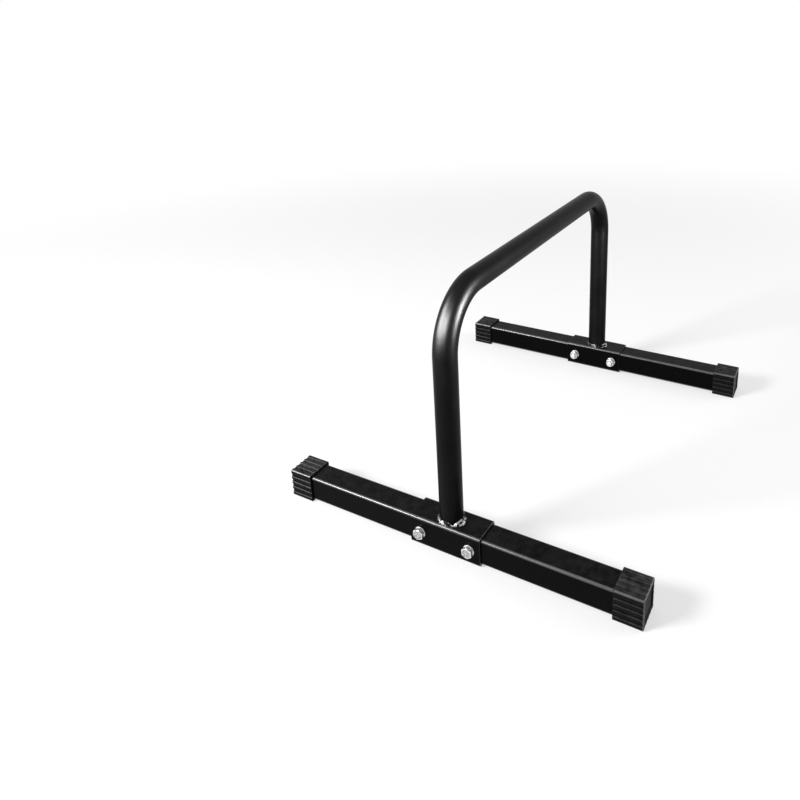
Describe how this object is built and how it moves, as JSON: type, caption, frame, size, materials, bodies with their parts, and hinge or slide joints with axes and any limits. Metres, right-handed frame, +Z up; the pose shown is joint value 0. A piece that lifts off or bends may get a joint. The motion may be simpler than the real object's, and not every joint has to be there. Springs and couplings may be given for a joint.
{
  "type": "parallette bar",
  "caption": "Low floor-standing training bar: a bent round grip tube on two square cross feet with ribbed rubber end caps and bolted sleeves.",
  "frame": {"origin": "on the floor, under the middle of the grip", "axes": "+X along the grip, from the front foot to the rear foot; +Y along the feet; +Z up"},
  "size_m": [0.5952, 0.5, 0.35],
  "materials": {
    "powder_coat": "black semi-gloss powder coat with a fine orange peel",
    "cap_rubber": "dull black moulded rubber, faintly dusty",
    "zinc_plate": "bright zinc plate",
    "weld_metal": "uneven bright weld metal left bare in places",
    "nylon": "dark moulded nylon"
  },
  "bodies": {
    "root": {"grip_bar": "powder_coat", "front_sleeve": "powder_coat", "front_weld_bead": "weld_metal", "front_foot_tube": "powder_coat", "front_cap_left": "cap_rubber", "front_cap_right": "cap_rubber", "front_bolt_left": "zinc_plate", "front_head_washer_left": "zinc_plate", "front_nut_washer_left": "zinc_plate", "front_lock_nut_left": "zinc_plate", "front_nut_insert_left": "nylon", "front_bolt_right": "zinc_plate", "front_head_washer_right": "zinc_plate", "front_nut_washer_right": "zinc_plate", "front_lock_nut_right": "zinc_plate", "front_nut_insert_right": "nylon", "rear_sleeve": "powder_coat", "rear_weld_bead": "weld_metal", "rear_foot_tube": "powder_coat", "rear_cap_left": "cap_rubber", "rear_cap_right": "cap_rubber", "rear_bolt_left": "zinc_plate", "rear_head_washer_left": "zinc_plate", "rear_nut_washer_left": "zinc_plate", "rear_lock_nut_left": "zinc_plate", "rear_nut_insert_left": "nylon", "rear_bolt_right": "zinc_plate", "rear_head_washer_right": "zinc_plate", "rear_nut_washer_right": "zinc_plate", "rear_lock_nut_right": "zinc_plate", "rear_nut_insert_right": "nylon"}
  },
  "joints": []
}
